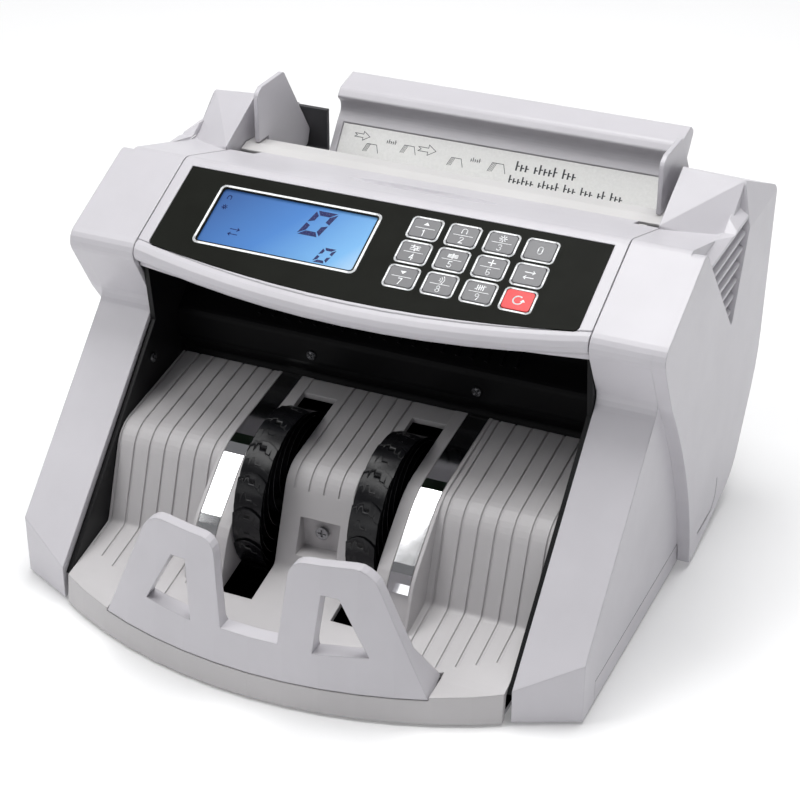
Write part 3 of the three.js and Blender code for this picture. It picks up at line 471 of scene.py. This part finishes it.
def icon_bundle(w):
    quads = []
    for i in range(3):
        y = (0.55 * i - 0.9) * MM
        quads += stroke([(-1.7 * MM, y), (1.7 * MM, y)], w)
    return quads + stroke([(0, -1.2 * MM), (0, 0.6 * MM)], w * 1.5)


def icon_plus(w):
    reach = 1.2 * MM
    return stroke([(-reach, 0), (reach, 0)], w * 1.3) + stroke([(0, -reach), (0, reach)], w * 1.3)


def icon_waves(w):
    quads = []
    for i in range(3):
        line = arc(-1.2, 0, 0.7 + 0.75 * i, -42, 42, 6)
        quads += stroke([(x * MM, y * MM) for x, y in line], w)
    return quads


def icon_tally(w):
    quads = []
    for i in range(4):
        x = (0.75 * i - 1.1) * MM
        quads += stroke([(x, -0.95 * MM), (x, 0.95 * MM)], w)
    return quads + stroke([(-1.7 * MM, -0.7 * MM), (1.7 * MM, 0.7 * MM)], w)


def icon_swap(w):
    quads = stroke([(-2.2 * MM, 1.4 * MM), (2.2 * MM, 1.4 * MM)], w)
    quads += stroke([(-2.2 * MM, -1.4 * MM), (2.2 * MM, -1.4 * MM)], w)
    quads += stroke([(1.3 * MM, 2.2 * MM), (2.2 * MM, 1.4 * MM), (1.3 * MM, 0.6 * MM)], w)
    return quads + stroke([(-1.3 * MM, -0.6 * MM), (-2.2 * MM, -1.4 * MM), (-1.3 * MM, -2.2 * MM)], w)


def icon_again(w):
    loop = [(x * MM, y * MM) for x, y in arc(0, 0, 2.1, 60, 350, 18)]
    return stroke(loop, w * 1.5) + triangle(2.15 * MM, 0.0, 1.15 * MM, True)


KEY_ICONS = {
    "key_1": lambda w: triangle(0, 0, 1.1 * MM, True), "key_2": icon_magnet, "key_3": icon_lamp,
    "key_4": icon_sliders, "key_5": icon_bundle, "key_6": icon_plus,
    "key_7": lambda w: triangle(0, 0, 1.1 * MM, False), "key_8": icon_waves, "key_9": icon_tally,
}


def panel_directions():
    inward = Vector(JOINTS["key_1_press"]["axis"])
    right = Vector((1, 0, 0))
    return right, (-inward).cross(right)


def key_sheet(name):
    low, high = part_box(name)
    right, up = panel_directions()
    normal = right.cross(up)
    return Sheet((low + high) / 2 + normal * CAP_HEIGHT / 2, right, up)


def print_key(name):
    width = 0.42 * MM
    sheet = key_sheet(name)
    if name == "key_restart":
        quads = icon_again(width)
    elif name == "key_mode":
        quads = icon_swap(width)
    elif name == "key_0":
        quads = digit("0", 0, 0, 0.95 * MM, width * 1.2)
    else:
        quads = stroke([(-4.4 * MM, 0.1 * MM), (4.4 * MM, 0.1 * MM)], width * 0.6)
        icon = KEY_ICONS[name](width * 0.8)
        quads += [[(x * 1.25, y * 1.25 + 2.5 * MM) for x, y in quad] for quad in icon]
        quads += digit(name[-1], 0, -2.45 * MM, 0.78 * MM, width)
    mesh_piece(name + "_print", *filled(quads, sheet), WHITE_INK, name)


def print_key_frames():
    """The white line that frames each key's opening in the film."""
    vertices = []
    faces = []
    for name in KEY_NODES:
        sheet = key_sheet(name)
        ring = stroke(rounded_rectangle(*KEY_FRAME), 0.85 * MM, closed=True)
        more, more_faces = filled(ring, sheet, INK - CAP_PROUD)
        faces += [tuple(i + len(vertices) for i in face) for face in more_faces]
        vertices += more
    mesh_piece("key_frames_print", vertices, faces, WHITE_INK, "control_head")


# ------------------------------------------------------------------ display


def display_sheet(lift):
    low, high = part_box("lcd_display")
    right, up = panel_directions()
    normal = right.cross(up)
    return Sheet((low + high) / 2 + normal * lift, right, up)


def seven_segment_zero(x, y, width, height, bar, slant):
    """The lit segments of a zero, with the gaps between them and a forward slant."""
    half, top, gap = width / 2, height / 2, 0.3 * MM
    upright = [
        (half, gap), (half, top - 2 * gap), (half - bar, top - bar - gap), (half - bar, gap + bar * 0.45),
    ]
    level = [
        (-half + 2 * gap, top), (half - 2 * gap, top), (half - bar - gap, top - bar),
        (-half + bar + gap, top - bar),
    ]
    segments = []
    for sx, sy in ((1, 1), (-1, 1), (1, -1), (-1, -1)):
        segments.append([(sx * px, sy * py) for px, py in upright])
    segments += [level, [(px, -py) for px, py in level]]
    return [[(x + px + slant * py, y + py) for px, py in shape] for shape in segments]


def display_marks():
    """A large and a small zero, and three mode symbols in place of words."""
    sheet = display_sheet(WINDOW_FACE + INK)
    quads = seven_segment_zero(12.2 * MM, 6.4 * MM, 10.6 * MM, 14.6 * MM, 2.6 * MM, 0.3)
    quads += seven_segment_zero(22.5 * MM, -9.8 * MM, 6.4 * MM, 8.6 * MM, 1.5 * MM, 0.3)
    for dx, dy, icon in ((-34, 11.5, icon_magnet), (-34, 5.8, icon_lamp), (-23.5, -6.8, icon_swap)):
        quads += [[(x + dx * MM, y + dy * MM) for x, y in quad] for quad in icon(0.42 * MM)]
    mesh_piece("display_symbols", *filled(quads, sheet, 0), SEGMENT_INK, "control_head")
    low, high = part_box("lcd_display")
    frame_sheet = display_sheet(FILM_FACE + INK)
    width = high.x - low.x + 0.6 * MM
    ring = stroke(rounded_rectangle(width, 33.6 * MM, 2.4 * MM), 1.1 * MM, closed=True)
    mesh_piece("display_frame_print", *filled(ring, frame_sheet, 0), WHITE_INK, "control_head")


# ------------------------------------------------------------------ instruction label


def label_sheet():
    low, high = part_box("hopper_label")
    thickness_y, thickness_z = 0.316 * MM, 0.245 * MM
    top = Vector((0, high.y - thickness_y, high.z))
    bottom = Vector((0, low.y, low.z + thickness_z))
    return Sheet(top, (1, 0, 0), top - bottom)


def greeked_line(x, y, words, height):
    """A line of print that spells nothing: uneven strokes, one group of them for each word."""
    quads = []
    pitch = height * 0.62
    for letters in words:
        for i in range(letters):
            tall = height * (0.62 if (i * 7 + letters) % 3 else 1.0)
            left, middle = x + i * pitch, y + tall * 0.5
            quads += stroke([(left, y), (left, y + tall)], height * 0.22)
            quads += stroke([(left, middle), (left + pitch * 0.5, middle)], height * 0.14)
        x += (letters + 0.9) * pitch
    return quads


def arrow_outline(x, y, size):
    points = [
        (-1.6, 0.35), (0.2, 0.35), (0.2, 0.9), (1.6, 0), (0.2, -0.9), (0.2, -0.35), (-1.6, -0.35), (-1.1, 0),
    ]
    return stroke([(x + px * size, y + py * size) for px, py in points], 0.3 * MM, closed=True)


def note_bundle(x, y, size):
    """A wad of notes drawn as a slanted block with a fanned edge."""
    outline = [(-1, -1), (-0.6, 0), (0.7, 0), (1.1, -1)]
    quads = stroke([(x + px * size, y + py * size) for px, py in outline], 0.3 * MM)
    for i in range(4):
        dx = i * size * 0.16
        quads += stroke([(x - size + dx, y - size), (x - size * 0.6 + dx, y)], 0.22 * MM)
    return quads


def instruction_print():
    sheet = label_sheet()
    quads = arrow_outline(-74 * MM, -5 * MM, 2.6 * MM) + note_bundle(-68 * MM, -8.5 * MM, 4 * MM)
    quads += greeked_line(-60 * MM, -6.5 * MM, [5], 1.8 * MM)
    quads += arrow_outline(-38 * MM, -6.5 * MM, 3.0 * MM) + note_bundle(-48 * MM, -6 * MM, 4 * MM)
    quads += note_bundle(-22 * MM, -8.0 * MM, 4 * MM) + greeked_line(-14 * MM, -8.2 * MM, [5], 1.8 * MM)
    quads += note_bundle(0, -7.0 * MM, 4.5 * MM)
    quads += greeked_line(10 * MM, -8.5 * MM, [3, 5, 3], 4.0 * MM)
    quads += greeked_line(8 * MM, -15.5 * MM, [6, 5, 3, 3, 2, 3], 3.6 * MM)
    quads += greeked_line(8 * MM, -22.0 * MM, [4, 6, 3, 5], 3.6 * MM)
    mesh_piece("instruction_print", *filled(quads, sheet), DARK_INK, "machine")


# ------------------------------------------------------------------ soft impeller wheels


BLADES = 15
BLADE_STEPS = 16  # along a blade, from its root to its tip
BLADE_COLUMNS = 5  # across a blade
HUB_RADIUS = 11.2 * MM
HUB_SIDES = 36


def around(centre, x, radius, angle):
    return centre + Vector((x, radius * math.cos(angle), radius * math.sin(angle)))


def blade_points(centre, x0, x1, outer, phase, side):
    """One face of a blade, which sweeps back around the hub as it rises."""
    half_thick = 0.3 * MM
    root = HUB_RADIUS - 1.2 * MM
    points = []
    for i in range(BLADE_STEPS + 1):
        share = i / BLADE_STEPS
        radius = root + (outer - root) * math.sin(math.pi / 2 * share)
        for j in range(BLADE_COLUMNS + 1):
            bow = 0.09 * math.sin(math.pi * j / BLADE_COLUMNS) * share
            angle = phase - 2.1 * share ** 1.25 - bow + side * half_thick / radius
            points.append(around(centre, x0 + (x1 - x0) * j / BLADE_COLUMNS, radius, angle))
    return points


def blade_faces(start):
    """Both faces of a blade and the narrow rim that joins them."""
    row = BLADE_COLUMNS + 1
    layer = (BLADE_STEPS + 1) * row
    faces = []
    for side in (0, 1):
        for i in range(BLADE_STEPS):
            for j in range(BLADE_COLUMNS):
                a = start + side * layer + i * row + j
                quad = (a, a + 1, a + row + 1, a + row)
                faces.append(quad if side else quad[::-1])
    rim = [i * row for i in range(BLADE_STEPS + 1)] + [BLADE_STEPS * row + j for j in range(1, row)]
    rim += [i * row + BLADE_COLUMNS for i in range(BLADE_STEPS - 1, -1, -1)]
    rim += list(range(BLADE_COLUMNS - 1, 0, -1))
    for k, a in enumerate(rim):
        b = rim[(k + 1) % len(rim)]
        faces.append((start + a, start + b, start + b + layer, start + a + layer))
    return faces


def hub_faces(first):
    """The hub's outside, its bore and its two ends."""
    far = 2 * HUB_SIDES
    faces = []
    for i in range(HUB_SIDES):
        a, b = first + 2 * i, first + 2 * ((i + 1) % HUB_SIDES)
        faces += [(a + 1, b + 1, b + 1 + far, a + 1 + far), (a, a + far, b + far, b)]
        faces += [(a, b, b + 1, a + 1), (a + far, a + 1 + far, b + 1 + far, b + far)]
    return faces


def bladed_wheel(name, node):
    """A wheel of many thin curved blades, each one bowed across its width as soft rubber is."""
    low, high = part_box(node)
    joint = JOINTS["impeller_spin"]
    centre = Vector((0, joint["pos_m"][1], joint["pos_m"][2]))
    outer = max(high.y - centre.y, high.z - centre.z, centre.y - low.y) - 0.3 * MM
    vertices, faces = [], []
    for blade in range(BLADES):
        phase = 2 * math.pi * blade / BLADES
        faces += blade_faces(len(vertices))
        for side in (-1, 1):
            vertices += blade_points(centre, low.x, high.x, outer, phase, side)
    faces += hub_faces(len(vertices))
    for x in (low.x, high.x):
        for i in range(HUB_SIDES):
            angle = 2 * math.pi * i / HUB_SIDES
            vertices += [around(centre, x, radius, angle) for radius in (3.3 * MM, HUB_RADIUS)]
    wheel = mesh_piece(name, vertices, faces, BLADE_RUBBER, "impellers")
    smooth_by_angle(wheel.data)
    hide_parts(node)


# ------------------------------------------------------------------ small fixings


def pan_head_screw(name, centre, outward, radius=2.4 * MM, height=1.2 * MM):
    """A domed screw head with a cross recess, turned from a profile."""
    outward = Vector(outward).normalized()
    side = outward.orthogonal().normalized()
    other = outward.cross(side)
    rings = [(1.0, 0.0), (1.0, 0.35), (0.88, 0.72), (0.62, 0.94), (0.3, 1.0)]
    sides = 32
    vertices, faces = [], []
    for share, lift in rings:
        for i in range(sides):
            angle = 2 * math.pi * i / sides
            slot_depth = 0.55 if share < 0.7 and min(abs(math.sin(2 * angle)), 1) < 0.42 else 0.0
            out = (lift - slot_depth) * height
            vertices.append(Vector(centre) + side * math.cos(angle) * radius * share
                            + other * math.sin(angle) * radius * share + outward * out)
    for ring in range(len(rings) - 1):
        for i in range(sides):
            k = (i + 1) % sides
            a, b = ring * sides + i, ring * sides + k
            faces.append((a, b, b + sides, a + sides))
    vertices.append(Vector(centre) + outward * height * 0.42)
    last = (len(rings) - 1) * sides
    faces += [(last + i, last + (i + 1) % sides, len(vertices) - 1) for i in range(sides)]
    faces.append(tuple(reversed(range(sides))))
    screw = mesh_piece(name, vertices, faces, SCREW_STEEL_PAINTED_SHADE, "machine")
    smooth_by_angle(screw.data, 40)


def frame_screws():
    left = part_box("frame_plate_left")[1].x
    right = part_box("frame_plate_right")[0].x
    pan_head_screw("plate_screw_left", (left, -39 * MM, 83.7 * MM), (1, 0, 0))
    pan_head_screw("plate_screw_right", (right, -39 * MM, 83.7 * MM), (-1, 0, 0))
    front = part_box("feed_housing")[0].y + 4.6 * MM
    pan_head_screw("housing_screw_left", (-35 * MM, front, 88.5 * MM), (0, -1, 0))
    pan_head_screw("housing_screw_right", (46.6 * MM, front, 88.5 * MM), (0, -1, 0))


# ------------------------------------------------------------------ floor, light and camera

LIGHT_TARGET = Vector((0, 0, 0.09))

def pale_floor():
    """A white sweep that is lit a little more far from the machine, so that it stays pale there."""
    reach = 4.0
    corners = [(-reach, -reach, 0), (reach, -reach, 0), (reach, reach, 0), (-reach, reach, 0)]
    floor = mesh_stage("floor", corners)
    floor.location.z = CAD_BOX[0][2]
    surface = Surface("floor_sweep")
    grain = surface.noise(3.0, 2.0)
    tones = [(0.3, (0.86, 0.86, 0.86)), (0.7, (0.88, 0.88, 0.88))]
    surface.feed(Base_Color=surface.ramp(grain, tones))
    distance = surface.tree.nodes.new("ShaderNodeVectorMath")
    distance.operation = "LENGTH"
    surface.link(surface.coordinates, distance.inputs[0])
    glow = surface.tree.nodes.new("ShaderNodeMapRange")
    glow.inputs["From Min"].default_value = 0.8
    glow.inputs["From Max"].default_value = 2.2
    glow.inputs["To Min"].default_value = 0.14
    glow.inputs["To Max"].default_value = 0.8
    surface.link(distance.outputs["Value"], glow.inputs["Value"])
    surface.feed(Emission_Strength=glow.outputs["Result"])
    surface.set(Roughness=0.9, Emission_Color=(1, 1, 1, 1))
    floor.data.materials.append(surface.material)


def mesh_stage(name, corners):
    mesh = bpy.data.meshes.new(name)
    mesh.from_pydata(corners, [], [(0, 1, 2, 3)])
    piece = bpy.data.objects.new(name, mesh)
    bpy.context.scene.collection.objects.link(piece)
    return piece


def seen_from(azimuth, elevation):
    """Unit vector towards a place at this azimuth and elevation, in degrees."""
    a, e = math.radians(azimuth), math.radians(elevation)
    return Vector((math.sin(a) * math.cos(e), -math.cos(a) * math.cos(e), math.sin(e)))


def soft_box(name, azimuth, elevation, distance, size, power):
    light = bpy.data.lights.new(name, "AREA")
    light.shape = "RECTANGLE"
    light.size, light.size_y = size
    light.energy = power
    lamp = bpy.data.objects.new(name, light)
    back = seen_from(azimuth, elevation)
    lamp.location = LIGHT_TARGET + back * distance
    lamp.rotation_euler = (-back).to_track_quat("-Z", "Y").to_euler()
    lamp.visible_camera = False
    bpy.context.scene.collection.objects.link(lamp)


def studio_light():
    """A dim room with a pale band along the horizon, and three soft boxes."""
    world = bpy.data.worlds.new("studio")
    world.use_nodes = True
    nodes, links = world.node_tree.nodes, world.node_tree.links
    background = nodes["Background"]
    background.inputs["Color"].default_value = (0.95, 0.96, 1.0, 1)
    split = nodes.new("ShaderNodeSeparateXYZ")
    links.new(nodes.new("ShaderNodeTexCoord").outputs["Generated"], split.inputs["Vector"])
    height = nodes.new("ShaderNodeMapRange")
    height.inputs["From Min"].default_value = 0.14
    height.inputs["From Max"].default_value = 0.32
    height.inputs["To Min"].default_value = 0.75
    height.inputs["To Max"].default_value = 0.16
    links.new(split.outputs["Z"], height.inputs["Value"])
    links.new(height.outputs["Result"], background.inputs["Strength"])
    bpy.context.scene.world = world
    soft_box("key_light", 175, 79, 1.6, (1.1, 1.0), 25)
    soft_box("left_fill", -54, 54, 1.5, (0.6, 0.8), 6.5)
    soft_box("front_box", -22, 15, 1.5, (0.4, 0.6), 0.8)


def catalogue_camera():
    """The catalogue view: slightly to the right of the front, from above, with a long lens."""
    camera_data = bpy.data.cameras.new("catalogue_camera")
    camera_data.sensor_width = 36.0
    camera_data.lens = 91.7
    camera = bpy.data.objects.new("catalogue_camera", camera_data)
    camera.location = (0.3368, -0.7414, 0.5353)
    back = seen_from(24.27, 30.0)
    camera.rotation_euler = (-back).to_track_quat("-Z", "Y").to_euler()
    bpy.context.scene.collection.objects.link(camera)
    bpy.context.scene.camera = camera


# ------------------------------------------------------------------ the scene

finish_cad_nodes()
for cad_node in NODES.values():
    smooth_by_angle(cad_node.data)
for key_name in KEY_NODES:
    print_key(key_name)
print_key_frames()
display_marks()
instruction_print()
bladed_wheel("impeller_wheel_right", "impeller_right")
bladed_wheel("impeller_wheel_left", "impeller_left")
frame_screws()
pale_floor()
studio_light()
catalogue_camera()
bpy.context.scene.view_settings.view_transform = "Standard"
